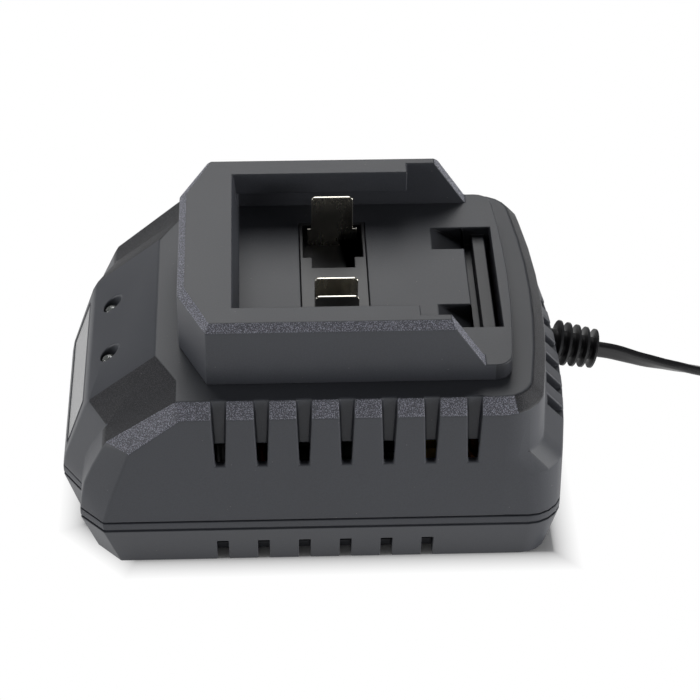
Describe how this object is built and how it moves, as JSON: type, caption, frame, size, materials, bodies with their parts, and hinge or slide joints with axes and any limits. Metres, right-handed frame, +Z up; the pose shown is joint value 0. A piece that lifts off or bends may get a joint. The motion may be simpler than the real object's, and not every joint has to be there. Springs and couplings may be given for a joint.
{
  "type": "power tool battery charger",
  "caption": "Corded bench charger for a slide-on power tool battery: railed dock with contact blades on a vented two-part housing, flat mains cord with strain relief, coil and plug.",
  "frame": {"origin": "middle of the underside of the charger and its strain relief, on the surface that the rubber feet stand on", "axes": "+X from the nose with the indicator holes to the cord end, +Y to the side of the positive blade, +Z up"},
  "size_m": [0.3505, 0.103, 0.08],
  "materials": {
    "housing": "satin charcoal ABS with spark-textured bevels",
    "dock": "satin charcoal ABS with spark-textured bevels",
    "insert": "satin dark nylon",
    "blades": "nickel-plated strip",
    "lens": "clear epoxy, unlit",
    "nylon": "natural nylon",
    "tinned_wire": "tinned",
    "label": "plain matt film, left bare",
    "board": "green solder mask",
    "ferrite": "dull grey ferrite",
    "bobbin": "moulded phenolic",
    "winding_tape": "yellow polyester tape",
    "can_sleeve": "shrink sleeve",
    "small_can": "shrink sleeve",
    "fuse_tube": "clear glass with plated caps",
    "package": "black moulded epoxy",
    "sink_aluminium": "extruded, plain",
    "screw_steel": "zinc plated",
    "screw_dark": "black zinc",
    "copper_winding": "enamelled copper wire",
    "film_capacitor": "yellow box",
    "resistor_body": "lacquered",
    "mains_wire": "PVC insulation",
    "output_wire": "silicone insulation",
    "feet_rubber": "matt",
    "relief_rubber": "matt moulded PVC",
    "cord_jacket": "satin PVC",
    "tie_strap": "hook and loop strap",
    "plug_shell": "satin moulded PVC",
    "plug_metal": "nickel-plated brass"
  },
  "bodies": {
    "root": {"bottom_tray": "housing", "upper_housing": "housing", "battery_dock": "dock", "terminal_block": "insert", "blade_positive": "blades", "blade_sense": "blades", "blade_negative": "blades", "led_charging": "lens", "led_ready": "lens", "led_stands": "nylon", "led_legs": "tinned_wire", "front_label": "label", "circuit_board": "board", "transformer_core": "ferrite", "transformer_bobbin": "bobbin", "transformer_winding": "winding_tape", "bulk_capacitor": "can_sleeve", "output_capacitors": "small_can", "fuse": "fuse_tube", "bridge_rectifier": "package", "heat_sink": "sink_aluminium", "power_transistor": "package", "output_diode": "package", "sink_screws": "screw_steel", "line_choke": "copper_winding", "line_capacitor": "film_capacitor", "optocoupler": "package", "control_chip": "package", "resistors": "resistor_body", "mains_leads": "mains_wire", "output_wires": "output_wire", "board_screws": "screw_steel", "housing_screws": "screw_dark", "dock_screws": "screw_steel", "terminal_screws": "screw_steel", "rubber_feet": "feet_rubber", "strain_relief": "relief_rubber", "mains_cord": "cord_jacket", "cord_coil": "cord_jacket", "cord_tie": "tie_strap", "plug_lead": "cord_jacket", "plug_body": "plug_shell", "plug_pins": "plug_metal"}
  },
  "joints": []
}
